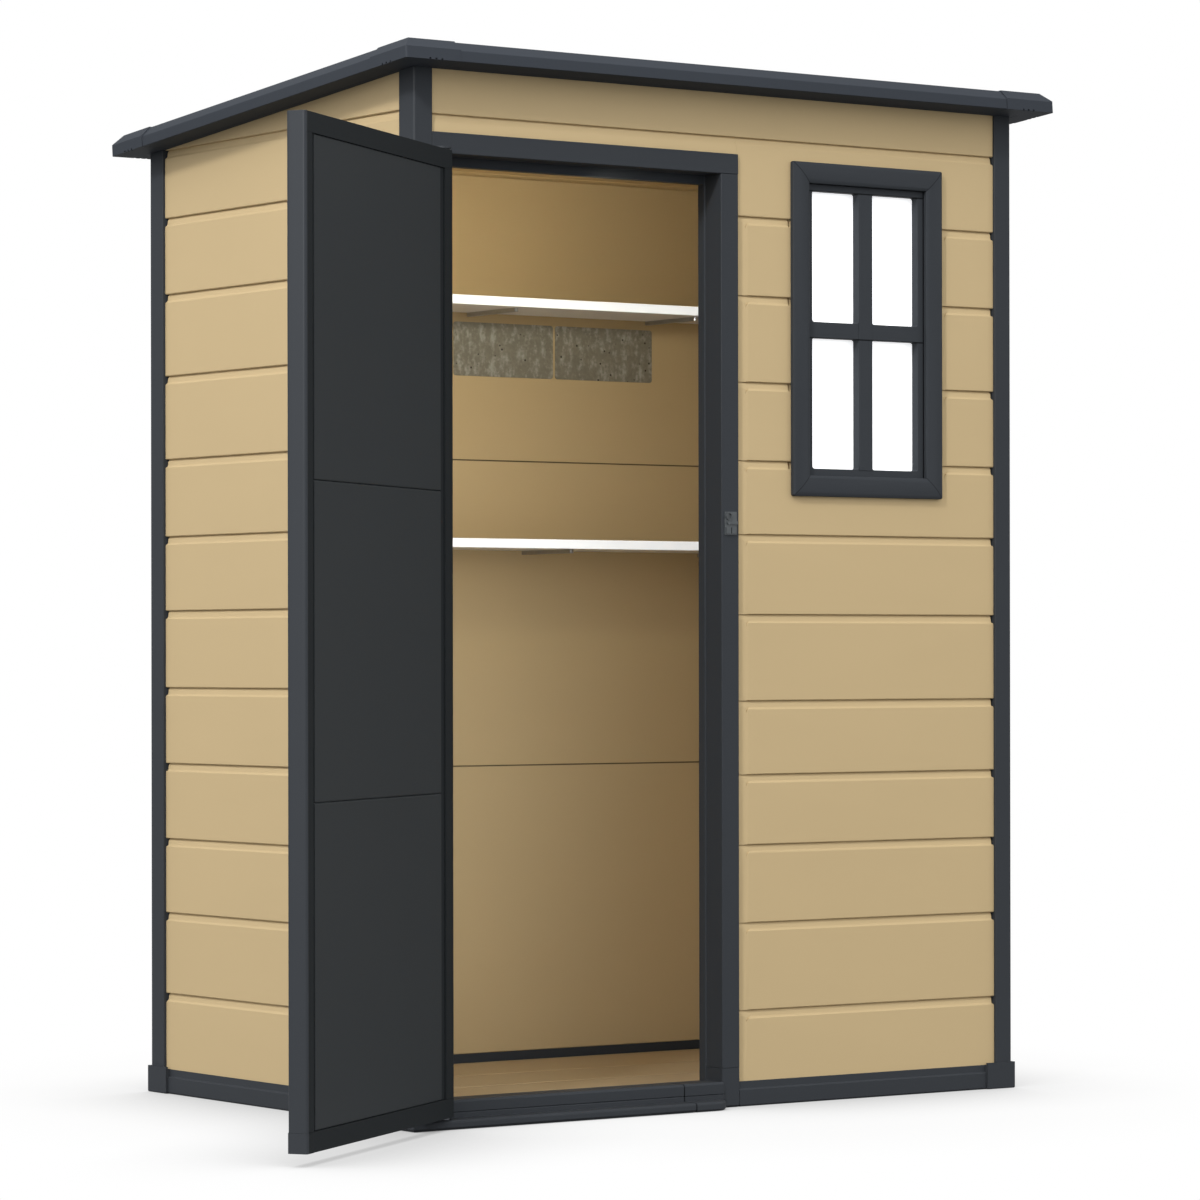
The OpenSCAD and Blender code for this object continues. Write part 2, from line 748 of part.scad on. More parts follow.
module roof_block(g) {
    intersection() {
        translate([-roof_side, 0, 0]) along_x(roof_w + 2 * roof_side) polygon(edge_outline(roof_len, g));
        translate([0, -roof_side, 0]) along_y(roof_len + 2 * roof_side) polygon(edge_outline(roof_w, g));
    }
}

module rim_hollow() {
    translate([edge_w, edge_w, -e]) cube([roof_w - 2 * edge_w, roof_len - 2 * edge_w, 2 * roof_h]);
}

module cap_boxes() {
    for (x = [-edge_w, roof_w - cap_len]) for (y = [-edge_w, roof_len - cap_len])
        translate([x, y, -e]) cube([cap_len + edge_w, cap_len + edge_w, 2 * roof_h]);
}

module drain_notch(x, y) { translate([x, y, -e]) cylinder(d = drain_d, h = drain_h + e); }

// Three notches on each side of each corner
module drain_notches() {
    for (s = [drain_first : drain_pitch : drain_first + 2 * drain_pitch]) {
        for (x = [s, roof_w - s]) for (y = [0, roof_len]) drain_notch(x, y);
        for (x = [0, roof_w]) for (y = [s, roof_len - s]) drain_notch(x, y);
    }
}

module roof_edges() {
    color(dark) on_roof() difference() {
        roof_block(0);
        rim_hollow();
        cap_boxes();
    }
}

module roof_corner_caps() {
    color(dark) on_roof() difference() {
        intersection() {
            roof_block(cap_proud);
            cap_boxes();
            translate([-cap_proud, -cap_proud, -e]) linear_extrude(2 * roof_h)
                polygon(rounded_box(roof_w + 2 * cap_proud, roof_len + 2 * cap_proud, cap_r));
        }
        rim_hollow();
        drain_notches();
    }
}

module roof_panels() {
    inner_len = roof_len - 2 * edge_w;
    half = (roof_w - 2 * edge_w - fit) / 2;
    gap = (half - rib_count * rib_w) / (rib_count + 1);
    color(dark) on_roof() for (i = [0, 1]) translate([edge_w + i * (half + fit), edge_w, 0]) {
        cube([half, inner_len, roof_t]);
        for (k = [0:rib_count - 1]) translate([gap + k * (rib_w + gap), 0, 0]) rib(inner_len);
    }
}

// A rib with sloping sides, from edge to edge
module rib(len) {
    along_y(len)
        polygon([[0, roof_t - e], [0, roof_t], [rib_h, roof_t + rib_h], [rib_w - rib_h, roof_t + rib_h],
                 [rib_w, roof_t], [rib_w, roof_t - e]]);
}

// ---- fittings ----

module shelf(top) {
    color(white) at_corner() translate([wall_in + shelf_gap, wall_back - shelf_d, top - shelf_t])
        cube([body_w - 2 * wall_in - 2 * shelf_gap, shelf_d, shelf_t]);
}

// An arm under a shelf with a round front end
module shelf_arm(x, top) {
    at_corner() translate([x, wall_back, top - shelf_t - arm_h]) linear_extrude(arm_h)
        polygon(concat([[arm_w / 2, 0], [-arm_w / 2, 0]],
                       arc(0, arm_w / 2 - arm_len, arm_w / 2, 180, 360, 8)));
}

module shelf_brackets() {
    last = body_w - wall_in - shelf_gap - arm_w;
    color(zinc) {
        for (x = [upper_arm_x : arm_pitch : last]) shelf_arm(x, shelf_upper_z);
        for (x = [lower_arm_x : arm_pitch : last]) shelf_arm(x, shelf_lower_z);
    }
}

module tool_plates() {
    color(zinc) at_corner() for (i = [0, 1])
        translate([plate_x + i * (plate_w + plate_gap), wall_back - plate_t, plate_z])
            along_y(plate_t) polygon(rounded_box(plate_w, plate_h, plate_gap));
}

// ---- door: drawn closed about its pivot, then swung open ----

module door_place() {
    at_corner() translate([pivot_x, pivot_y, leaf_z]) rotate([0, 0, -door_angle]) children();
}

// Plan of the leaf, with its round hinge edge
function leaf_plan() =
    concat(arc(0, 0, leaf_face, 90, 270, 16),
           arc(leaf_w - leaf_r, leaf_r - leaf_face, leaf_r, 270, 360),
           arc(leaf_w - leaf_r, leaf_face - leaf_r, leaf_r, 0, 90));

module pin_bores() {
    for (z = [-e, leaf_h - pin_in - e]) translate([0, 0, z]) cylinder(d = pin_bore, h = pin_in + 2 * e);
}

module door_stiles() {
    h = leaf_h - 2 * door_rail_h;
    f = leaf_face;
    g = groove_face;
    x1 = leaf_w - stile_w;
    color(dark) door_place() difference() {
        translate([0, 0, door_rail_h]) linear_extrude(h) {
            polygon(concat(arc(0, 0, f, 90, 270, 16),
                           [[hinge_stile_w, -f], [hinge_stile_w, -g], [panel_x0, -g],
                            [panel_x0, g], [hinge_stile_w, g], [hinge_stile_w, f]]));
            polygon(concat([[panel_x1, -g], [x1, -g], [x1, -f]],
                           arc(leaf_w - leaf_r, leaf_r - f, leaf_r, 270, 360),
                           arc(leaf_w - leaf_r, f - leaf_r, leaf_r, 0, 90),
                           [[x1, f], [x1, g], [panel_x1, g]]));
        }
        pin_bores();
    }
}

module door_rails() {
    color(dark) door_place() difference() {
        union() {
            linear_extrude(door_rail_h) polygon(leaf_plan());
            translate([leaf_w - stile_w, -leaf_face - door_cap, 0])
                linear_extrude(door_rail_h)
                    polygon(rounded_box(stile_w + door_cap, leaf_t + 2 * door_cap, leaf_r));
            translate([0, 0, leaf_h - door_rail_h])
                linear_extrude(door_rail_h) polygon(leaf_plan());
        }
        pin_bores();
    }
}

module door_panel(z0, z1) {
    f = panel_face;
    c = panel_chamfer;
    color(dark) door_place() translate([panel_x0, 0, 0]) along_x(panel_x1 - panel_x0)
        polygon([[c - f, z0], [-f, z0 + c], [-f, z1 - c], [c - f, z1],
                 [f - c, z1], [f, z1 - c], [f, z0 + c], [f - c, z0]]);
}

// Where the pull's dish sits, seen from outside with y growing into the leaf
module at_pull() {
    door_place() translate([leaf_w - pull_edge - pull_w / 2, -panel_face, pull_z - leaf_z - pull_h / 2])
        children();
}

module door_panel_middle() {
    difference() {
        door_panel(door_joint_low - leaf_z, door_joint_high - leaf_z);
        at_pull() translate([-fit, -e, -fit]) cube([pull_w + 2 * fit, pull_d + e + fit, pull_h + 2 * fit]);
    }
}

// A dish in the middle panel with a grip bar across it
module door_handle() {
    flange_w = pull_w + 2 * pull_flange;
    flange_h = pull_h + 2 * pull_flange;
    foot = pull_flange;
    out = grip_out;
    under = grip_out - grip_t;
    color(dark) at_pull() {
        difference() {
            union() {
                cube([pull_w, pull_d, pull_h]);
                translate([-pull_flange, -pull_t, -pull_flange])
                    along_y(pull_t) polygon(rounded_box(flange_w, flange_h, pull_flange));
            }
            translate([pull_t, -pull_t - e, pull_t])
                cube([pull_w - 2 * pull_t, pull_d + e, pull_h - 2 * pull_t]);
        }
        translate([(pull_w - grip_w) / 2, 0, -foot]) mirror([0, 1, 0]) along_x(grip_w)
            polygon([[0, 0], [out, grip_end], [out, flange_h - grip_end], [0, flange_h],
                     [0, flange_h - 2 * foot], [under, flange_h - foot - grip_end],
                     [under, foot + grip_end], [0, 2 * foot]]);
    }
}

module pin(z_out, z_in) {
    translate([0, 0, min(z_out, z_in)]) cylinder(d = pin_d, h = abs(z_in - z_out));
}

module door_pivot_pins() {
    color(zinc) door_place() {
        pin(pin_floor + fit - leaf_z, pin_in);
        translate([0, 0, fit - leaf_under]) cylinder(d = collar_d, h = leaf_under - 2 * fit);
        pin(leaf_h - pin_in, leaf_h + bracket_gap + bracket_t + fit);
        translate([0, 0, leaf_h + fit]) cylinder(d = collar_d, h = bracket_gap - 2 * fit);
    }
}

floor_deck();  // floor
base_rails();
corners() corner_foot();  // corner_feet
door_sill();
door_ledge();
jamb_foot();
below_roof() corners() corner_post();  // corner_posts
latch_jamb();
lintel();
front_panel(0);  // front_panel_lower
front_panel(1);  // front_panel_middle
front_panel(2);  // front_panel_upper
front_top_board();
on_left(post_side) side_planks(0);  // left_panel_lower
on_left(post_side) side_planks(1);  // left_panel_middle
below_roof() on_left(post_side) side_planks(2);  // left_panel_upper
below_roof() on_left(post_side) gable();  // left_gable
on_right(post_side) side_planks(0);  // right_panel_lower
on_right(post_side) side_planks(1);  // right_panel_middle
below_roof() on_right(post_side) side_planks(2);  // right_panel_upper
below_roof() on_right(post_side) gable();  // right_gable
back_panel(0);  // back_panel_lower
back_panel(1);  // back_panel_middle
back_panel(2);  // back_panel_upper
window_trim();
window_sash();
window_pane();
roof_panels();
roof_edges();
roof_corner_caps();
pivot_bracket();
latch_keeper();
shelf(shelf_upper_z);  // shelf_upper
shelf(shelf_lower_z);  // shelf_lower
shelf_brackets();
tool_plates();
door_stiles();
door_rails();
door_panel(door_rail_h, door_joint_low - leaf_z);  // door_panel_lower
door_panel_middle();
door_panel(door_joint_high - leaf_z, leaf_h - door_rail_h);  // door_panel_upper
door_pivot_pins();
door_handle();
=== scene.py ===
"""Finish, light and camera for a resin garden shed with a pent roof and a pivoted door."""

import json
import math

import bpy
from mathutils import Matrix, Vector


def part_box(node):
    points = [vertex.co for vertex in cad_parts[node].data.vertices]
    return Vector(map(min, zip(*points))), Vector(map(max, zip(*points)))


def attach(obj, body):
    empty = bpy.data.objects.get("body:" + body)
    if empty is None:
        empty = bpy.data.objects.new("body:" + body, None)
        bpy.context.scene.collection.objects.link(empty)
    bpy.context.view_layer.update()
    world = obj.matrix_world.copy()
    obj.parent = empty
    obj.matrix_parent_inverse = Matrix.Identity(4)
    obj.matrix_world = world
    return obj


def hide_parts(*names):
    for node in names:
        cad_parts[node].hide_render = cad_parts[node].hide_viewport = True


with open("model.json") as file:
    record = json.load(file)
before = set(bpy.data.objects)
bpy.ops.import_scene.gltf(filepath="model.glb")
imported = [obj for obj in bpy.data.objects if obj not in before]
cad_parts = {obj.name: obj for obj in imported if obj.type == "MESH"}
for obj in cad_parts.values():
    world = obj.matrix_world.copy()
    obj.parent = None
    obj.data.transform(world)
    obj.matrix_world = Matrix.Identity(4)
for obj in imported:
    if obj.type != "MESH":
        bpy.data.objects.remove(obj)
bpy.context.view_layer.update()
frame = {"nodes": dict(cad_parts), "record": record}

MM = 0.001

# ---- camera ----

LENS_MM = 141.98
SENSOR_MM = 36.0
SHIFT_UP = 0.047
FARTHEST = 60.0
EYE = (-5.436, -7.657, 0.859)
LOOK_DEGREES = (90.0, 0.09, -35.59)

camera_data = bpy.data.cameras.new("camera")
camera_data.lens = LENS_MM
camera_data.sensor_width = SENSOR_MM
camera_data.shift_y = SHIFT_UP
camera_data.clip_end = FARTHEST
camera = bpy.data.objects.new("camera", camera_data)
camera.location = EYE
camera.rotation_euler = [math.radians(turn) for turn in LOOK_DEGREES]
bpy.context.collection.objects.link(camera)
bpy.context.scene.camera = camera


# ---- how a finish is built ----

class Reading:
    """A number inside a finish. Sums and products of readings add the nodes that work them out."""

    def __init__(self, finish, socket):
        self.finish = finish
        self.socket = socket

    def work_out(self, operation, *numbers):
        sockets = dict(enumerate(numbers))
        return self.finish.node("ShaderNodeMath", {"operation": operation}, sockets, "Value")

    def __add__(self, other):
        return self.work_out("ADD", self, other)

    __radd__ = __add__

    def __sub__(self, other):
        return self.work_out("SUBTRACT", self, other)

    def __rsub__(self, other):
        return self.work_out("SUBTRACT", other, self)

    def __mul__(self, other):
        return self.work_out("MULTIPLY", self, other)

    __rmul__ = __mul__

    def __pow__(self, other):
        return self.work_out("POWER", self, other)

    def __abs__(self):
        return self.work_out("ABSOLUTE", self)

    def or_more(self, other):
        return self.work_out("MAXIMUM", self, other)


class Tree:
    """The nodes of a finish or of the sky, with the few calls that build what varies."""

    def __init__(self, tree):
        self.tree = tree

    def node(self, kind, settings, sockets, output):
        made = self.tree.nodes.new(kind)
        for setting, value in settings.items():
            setattr(made, setting, value)
        for socket, value in sockets.items():
            if isinstance(value, Reading):
                self.tree.links.new(value.socket, made.inputs[socket])
            else:
                made.inputs[socket].default_value = value
        return Reading(self, made.outputs[output])

    def place(self):
        return self.node("ShaderNodeTexCoord", {}, {}, "Object")

    def coordinate(self, axis):
        return self.node("ShaderNodeSeparateXYZ", {}, {"Vector": self.place()}, axis)

    def stretched(self, x, y, z):
        """The place, squeezed along each axis by what is given."""
        return self.node("ShaderNodeMapping", {}, {"Vector": self.place(), "Scale": (x, y, z)}, "Vector")

    def noise(self, size, detail, place=None):
        """Soft mottling of a given size in metres."""
        return self.node("ShaderNodeTexNoise", {}, {
            "Vector": place or self.place(), "Scale": 1 / size, "Detail": detail}, "Fac")

    def step(self, reading, start, end, low=0.0, high=1.0):
        """A smooth passage from one number to another while a reading goes from start to end."""
        return self.node("ShaderNodeMapRange", {"interpolation_type": "SMOOTHSTEP"}, {
            "Value": reading, "From Min": start, "From Max": end, "To Min": low, "To Max": high}, "Result")

    def blend(self, amount, low, high):
        """A colour between two colours."""
        return self.node("ShaderNodeMix", {"data_type": "RGBA"}, {0: amount, 6: low, 7: high}, 2)

    def seen_directly(self):
        """1 for a ray from the eye, or by way of metal or glass, and 0 for the light on the shed."""
        def ray(kind):
            return self.node("ShaderNodeLightPath", {}, {}, kind)
        return ray("Is Camera Ray").or_more(ray("Is Glossy Ray") + ray("Is Transmission Ray"))


class Finish(Tree):
    """A material. What is the same all over it is given at once, and what varies is fed in later."""

    def __init__(self, name, **constants):
        self.material = bpy.data.materials.new(name)
        self.material.use_nodes = True
        super().__init__(self.material.node_tree)
        self.shader = self.tree.nodes["Principled BSDF"]
        for socket, value in constants.items():
            self.shader.inputs[socket.replace("_", " ")].default_value = value

    def feed(self, socket, reading):
        self.tree.links.new(reading.socket, self.shader.inputs[socket])

    def emboss(self, height, depth, strength):
        """Raises the surface by a height from 0 to 1, times a depth in metres."""
        self.feed("Normal", self.node("ShaderNodeBump", {}, {
            "Height": height, "Distance": depth, "Strength": strength}, "Normal"))


def tone(red, green, blue, factor=1.0):
    """A colour given as it looks, from 0 to 255, as the shader wants it."""
    linear = [((c / 255 + 0.055) / 1.055) ** 2.4 if c > 10 else c / 255 / 12.92 for c in (red, green, blue)]
    return tuple(min(c * factor, 1.0) for c in linear) + (1.0,)


def grey(value):
    return (value, value, value, 1.0)


WHITE = grey(1.0)


# ---- seams, and painted shade lines on the window sash ----

SEAM_AND_SHADE_CORE = 0.6 * MM
SEAM_AND_SHADE_EDGE = 2.1 * MM
SEAM_AND_SHADE_TONE = 0.22
MITRE_TONE = 0.55
TRIM_WIDTH = 40 * MM
SASH_RAIL = 20.7 * MM
SASH_BAR = 31 * MM
BACK_PANELS = ["back_panel_lower", "back_panel_middle", "back_panel_upper"]


def straight(axis, where):
    """A dark line square to an axis, used for seams and for painted shade lines: how far off it a spot
    lies.
    """
    return lambda finish: finish.coordinate(axis) - where


def mitres(low, high):
    """The four mitres of an upright frame between two corners: how far off them a spot lies."""
    middle, half = (low + high) / 2, (high - low) / 2

    def offset(finish):
        sideways = abs(finish.coordinate("X") - middle.x)
        upwards = abs(finish.coordinate("Z") - middle.z)
        return sideways - upwards - (half.x - half.z)
    return offset


trim_low, trim_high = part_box("window_trim")
sash_low, sash_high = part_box("window_sash")
BACK_SEAMS = [straight("Z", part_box(node)[1].z) for node in BACK_PANELS[:-1]]
SILL_SEAMS = [straight("X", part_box("door_sill")[1].x)]
TRIM_SEAMS = [mitres(trim_low, trim_high)]
# Painted shade lines on the sash: dark bands beside the trim's inner edges and under the top rail and the
# middle bar, where shade falls
SASH_SHADE_LINES = [
    straight("X", trim_low.x + TRIM_WIDTH),
    straight("X", trim_high.x - TRIM_WIDTH),
    straight("Z", trim_high.z - TRIM_WIDTH),
    straight("Z", sash_high.z - SASH_RAIL),
    straight("Z", (sash_low.z + sash_high.z - SASH_BAR) / 2),
]


# ---- finishes ----

# Colours as they look, from 0 to 255
SAND = (190, 168, 128)
DECK = (182, 160, 124)
ANTHRACITE = (57, 60, 64)
# The door frame's anthracite, darkened as painted shade for the leaf's inner side
DOOR_FRAME_SHADED = (38, 41, 43)
DOOR_PANEL = (53, 56, 58)
ROOF_SLATE = (56, 60, 66)
ZINC = (186, 188, 190)
DARK_ZINC = (84, 86, 90)

RESIN_IOR = 1.49
PORE_ROUGHNESS = 0.12
CLOUD_SHARE = 0.7


def moulded_resin(name, colour, roughness, sheen, grain, depth, contrast, seams_and_shade_lines=(), seam_and_shade_tone=SEAM_AND_SHADE_TONE):
    """Moulded resin: clouds of tone a hand wide, a fine matt grain over all, and dark lines, which are
    seams on most parts and painted shade lines on the sash.
    """
    finish = Finish(name, IOR=RESIN_IOR, Specular_IOR_Level=sheen)
    clouds = finish.noise(350 * MM, detail=3.0)
    pores = finish.noise(grain, detail=2.0)
    flow = finish.noise(60 * MM, detail=2.0, place=finish.stretched(0.25, 0.25, 1.0))
    mottle = clouds * CLOUD_SHARE + flow * (1 - CLOUD_SHARE)
    shade = finish.blend(mottle, tone(*colour, 1 - contrast), tone(*colour, 1 + contrast))
    # Each dark line is a seam, except on the sash, where it is a painted shade line
    for offset in seams_and_shade_lines:
        seam_and_shade_mask = finish.step(abs(offset(finish)), SEAM_AND_SHADE_CORE, SEAM_AND_SHADE_EDGE, low=1.0, high=0.0)
        shade = finish.blend(seam_and_shade_mask, shade, tone(*colour, seam_and_shade_tone))
    finish.feed("Base Color", shade)
    finish.feed("Roughness", roughness - PORE_ROUGHNESS / 2 + pores * PORE_ROUGHNESS)
    finish.emboss(pores, depth, strength=0.35)
    return finish.material


def sand_resin(name, seams_and_shade_lines=()):
    return moulded_resin(name, SAND, roughness=0.62, sheen=0.1, grain=1.6 * MM, depth=0.25 * MM,
                         contrast=0.03, seams_and_shade_lines=seams_and_shade_lines)


def anthracite_resin(name, seams_and_shade_lines=(), seam_and_shade_tone=SEAM_AND_SHADE_TONE):
    return moulded_resin(name, ANTHRACITE, roughness=0.42, sheen=0.02, grain=1.4 * MM, depth=0.2 * MM,
                         contrast=0.05, seams_and_shade_lines=seams_and_shade_lines, seam_and_shade_tone=seam_and_shade_tone)


def opal_acrylic():
    """Milky window sheet that glows with painted light, standing in for the daylight a real pane would let
    through.
    """
    # The emission is painted light: the pane glows though no lamp is behind it
    finish = Finish("opal_acrylic", Emission_Strength=0.7, Coat_Weight=0.4, Coat_Roughness=0.12)
    milk = finish.noise(200 * MM, detail=2.0)
    painted_glow_tint = finish.noise(300 * MM, detail=1.0)
    haze = finish.noise(10 * MM, detail=3.0)
    waves = finish.noise(30 * MM, detail=1.0)
    finish.feed("Base Color", finish.blend(milk, (0.9, 0.91, 0.92, 1), (0.95, 0.96, 0.965, 1)))
    finish.feed("Emission Color", finish.blend(painted_glow_tint, (0.95, 0.97, 1, 1), WHITE))
    finish.feed("Roughness", 0.22 + haze * 0.08)
    finish.emboss(waves, depth=0.2 * MM, strength=0.2)
    return finish.material


def lacquered_board():
    """White lacquer with the faint ripple that a roller leaves."""
    finish = Finish("white_lacquer", Coat_Weight=0.25, Coat_Roughness=0.2)
    ripple = finish.noise(4 * MM, detail=2.0, place=finish.stretched(0.1, 1.0, 1.0))
    yellowing = finish.noise(250 * MM, detail=3.0)
    finish.feed("Base Color", finish.blend(yellowing, (0.84, 0.84, 0.83, 1), (0.9, 0.9, 0.895, 1)))
    finish.feed("Roughness", 0.34 + ripple * 0.1)
    finish.emboss(ripple, depth=0.15 * MM, strength=0.3)
    return finish.material


def galvanised_sheet():
    """Dull zinc with pale upright smears, a fine spangle and small dark pits."""
    finish = Finish("galvanised_sheet", Metallic=0.25, Specular_IOR_Level=0.3)
    spangle = finish.noise(6 * MM, detail=3.0)
    bloom = finish.noise(50 * MM, detail=3.0)
    smears = finish.noise(14 * MM, detail=4.0, place=finish.stretched(1.0, 1.0, 0.4))
    pits = finish.node("ShaderNodeTexVoronoi", {"feature": "F1"}, {
        "Vector": finish.place(), "Scale": 48.0, "Randomness": 1.0}, "Distance")
    pale = finish.step(smears * 0.7 + spangle * 0.3, 0.46, 0.68)
    deep = finish.step(pits, 0.06, 0.14, low=1.0, high=0.0)
    dull = finish.blend(spangle * 0.6 + bloom * 0.4, tone(112, 108, 95), tone(156, 152, 138))
    smeared = finish.blend(pale * 0.45, dull, tone(206, 204, 196))
    finish.feed("Base Color", finish.blend(deep, smeared, tone(58, 54, 47)))
    finish.feed("Roughness", 0.42 + spangle * 0.2 + bloom * 0.1)
    finish.emboss(spangle * 0.4 - deep, depth=0.3 * MM, strength=0.4)
    return finish.material


def plated_steel(name, colour):
    """Zinc plate with fine turning marks."""
    finish = Finish(name, Metallic=1.0)
    marks = finish.noise(1.2 * MM, detail=2.0, place=finish.stretched(1.0, 1.0, 0.15))
    tarnish = finish.noise(20 * MM, detail=3.0)
    finish.feed("Base Color", finish.blend(tarnish, tone(*colour, 0.85), tone(*colour, 1.1)))
    finish.feed("Roughness", 0.28 + marks * 0.16)
    finish.emboss(marks, depth=0.1 * MM, strength=0.3)
    return finish.material


def painted_steel():
    """Dark powder coat with a slight orange-peel."""
    finish = Finish("painted_steel", Metallic=0.3, Coat_Weight=0.3, Coat_Roughness=0.3)
    peel = finish.noise(1.2 * MM, detail=1.0)
    wear = finish.noise(10 * MM, detail=2.0)
    finish.feed("Base Color", finish.blend(wear, tone(50, 54, 57), tone(74, 79, 82)))
    finish.feed("Roughness", 0.36 + peel * 0.12)
    finish.emboss(peel, depth=0.15 * MM, strength=0.4)
    return finish.material


SLOT_FINISH = {
    "wall_resin": sand_resin("sand_resin"),
    "floor_resin": moulded_resin("deck_resin", DECK, roughness=0.66, sheen=0.2, grain=2.4 * MM,
                                 depth=0.4 * MM, contrast=0.05),
    "frame_resin": anthracite_resin("anthracite_resin"),
    # The door frame: a darker copy of the anthracite, as painted shade
    "door_frame_resin": moulded_resin("door_frame_resin", DOOR_FRAME_SHADED, roughness=0.6, sheen=0.02,
                                      grain=1.4 * MM, depth=0.3 * MM, contrast=0.05),
    "door_panel_resin": moulded_resin("door_panel_resin", DOOR_PANEL, roughness=0.5, sheen=0.02,
                                      grain=1.4 * MM, depth=0.3 * MM, contrast=0.04),
    "roof_resin": moulded_resin("roof_resin", ROOF_SLATE, roughness=0.6, sheen=0.02, grain=1.6 * MM,
                                depth=0.25 * MM, contrast=0.05),
    "opal_pane": opal_acrylic(),
    "shelf_white": lacquered_board(),
    "bracket_steel": plated_steel("zinc_plate", ZINC),
    "pin_steel": plated_steel("pin_plate", DARK_ZINC),
    "galvanised_plate": galvanised_sheet(),
    "keeper_steel": painted_steel(),
}

# Finishes with seams, and the sash's finish with painted shade lines, for single nodes
BACK_WALL = sand_resin("back_wall_resin", BACK_SEAMS)
SILL = anthracite_resin("sill_resin", SILL_SEAMS)
TRIM = anthracite_resin("trim_resin", TRIM_SEAMS, MITRE_TONE)
# The sash's dark lines are painted shade, not seams
SASH = anthracite_resin("sash_resin", SASH_SHADE_LINES)
NODE_FINISH = dict.fromkeys(BACK_PANELS, BACK_WALL)
NODE_FINISH.update(dict.fromkeys(["door_sill", "door_ledge", "jamb_foot"], SILL))
NODE_FINISH.update(window_trim=TRIM, window_sash=SASH)


# ---- how a piece is shaped ----

WELD = 0.01 * MM
FLAT = math.radians(0.3)
SHARP_FROM = math.radians(34)
SMOOTH_BELOW = math.radians(36)
ROUNDING_STEPS = 2
ON_GROUND = 0.1 * MM


def select_only(piece):
    bpy.ops.object.select_all(action="DESELECT")
    piece.select_set(True)
    bpy.context.view_layer.objects.active = piece


def apply_modifiers(piece):
    select_only(piece)
    for name in [modifier.name for modifier in piece.modifiers]:
        bpy.ops.object.modifier_apply(modifier=name)


def soften(piece, edge):
    """Rounds a piece's sharp edges and smooths its curves, as moulding leaves them."""
    rounding = piece.modifiers.new("rounding", "BEVEL")
    rounding.width = edge
    rounding.segments = ROUNDING_STEPS
    rounding.limit_method = "ANGLE"
    rounding.angle_limit = SHARP_FROM
    apply_modifiers(piece)
    bpy.ops.object.shade_smooth_by_angle(angle=SMOOTH_BELOW)
    shading = piece.modifiers.new("shading", "WEIGHTED_NORMAL")
    shading.keep_sharp = True
    apply_modifiers(piece)


def undercut(piece, width):
    """Cuts back the edges that a piece stands on, which leaves a dark line along the ground."""
    bpy.ops.mesh.select_all(action="DESELECT")
    bpy.ops.object.mode_set(mode="OBJECT")
    corners = piece.data.vertices
    for edge in piece.data.edges:
        edge.select = all(corners[index].co.z < ON_GROUND for index in edge.vertices)
    bpy.ops.object.mode_set(mode="EDIT")
    bpy.ops.mesh.select_mode(type="EDGE")
    bpy.ops.mesh.bevel(offset=width, segments=1, affect="EDGES")


def give_finish(piece, slot, node=None):
    piece.data.materials.clear()
    piece.data.materials.append(NODE_FINISH.get(node, SLOT_FINISH[slot]))


# ---- the CAD nodes, welded and softened ----

# Nodes that keep the edges of the CAD
SHARP = {"door_pivot_pins", "latch_keeper"}

# How far edges are rounded, by slot and, where a node differs, by node
SLOT_EDGE = {
    "wall_resin": 0.5 * MM,
    "floor_resin": 0.8 * MM,
    "frame_resin": 0.9 * MM,
    "roof_resin": 1.2 * MM,
    "door_panel_resin": 3.5 * MM,
    "door_frame_resin": 0.9 * MM,
    "opal_pane": 0.4 * MM,
    "shelf_white": 1.5 * MM,
    "bracket_steel": 0.6 * MM,
    "galvanised_plate": 0.3 * MM,
}
NODE_EDGE = dict.fromkeys(BACK_PANELS, 2.0 * MM)
NODE_EDGE.update(window_sash=2.2 * MM, jamb_foot=1.3 * MM, latch_jamb=1.6 * MM)

# How far the edges that stand on the ground are cut back
UNDERCUT = {"door_ledge": 5 * MM, "jamb_foot": 4 * MM, "base_rails": 3 * MM, "corner_feet": 2 * MM}


def moulding(node, edge):
    """A welded and softened copy of a CAD node."""
    piece = bpy.data.objects.new(node + "_moulding", frame["nodes"][node].data.copy())
    bpy.context.collection.objects.link(piece)
    select_only(piece)
    bpy.ops.object.mode_set(mode="EDIT")
    bpy.ops.mesh.select_all(action="SELECT")
    bpy.ops.mesh.remove_doubles(threshold=WELD)
    bpy.ops.mesh.dissolve_limited(angle_limit=FLAT)
    if node in UNDERCUT:
        undercut(piece, UNDERCUT[node])
    bpy.ops.object.mode_set(mode="OBJECT")
    soften(piece, edge)
    return piece


slots = {part["node"]: part["material_slot"] for part in frame["record"]["subparts"]}
bodies = frame["record"]["behaviour"]["bodies"]
pieces_by_slot = {}
for body, nodes in bodies.items():
    for node in nodes:
        give_finish(frame["nodes"][node], slots[node], node)
        if node in SHARP:
            continue
        piece = moulding(node, NODE_EDGE.get(node, SLOT_EDGE[slots[node]]))
        give_finish(piece, slots[node], node)
        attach(piece, body)
        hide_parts(node)
        pieces_by_slot.setdefault(slots[node], []).append(piece)


# ---- added pieces ----

def block(name, size, middle):
    """A new block of a size about a middle, with none of it selected."""
    bpy.ops.object.select_all(action="DESELECT")
    bpy.ops.mesh.primitive_cube_add(size=1, location=(0, 0, 0))
    piece = bpy.context.object
    piece.name = name
    bpy.ops.object.mode_set(mode="EDIT")
    bpy.ops.transform.resize(value=size)
    bpy.ops.transform.translate(value=middle)
    bpy.ops.mesh.select_all(action="DESELECT")
    bpy.ops.object.mode_set(mode="OBJECT")
    return piece


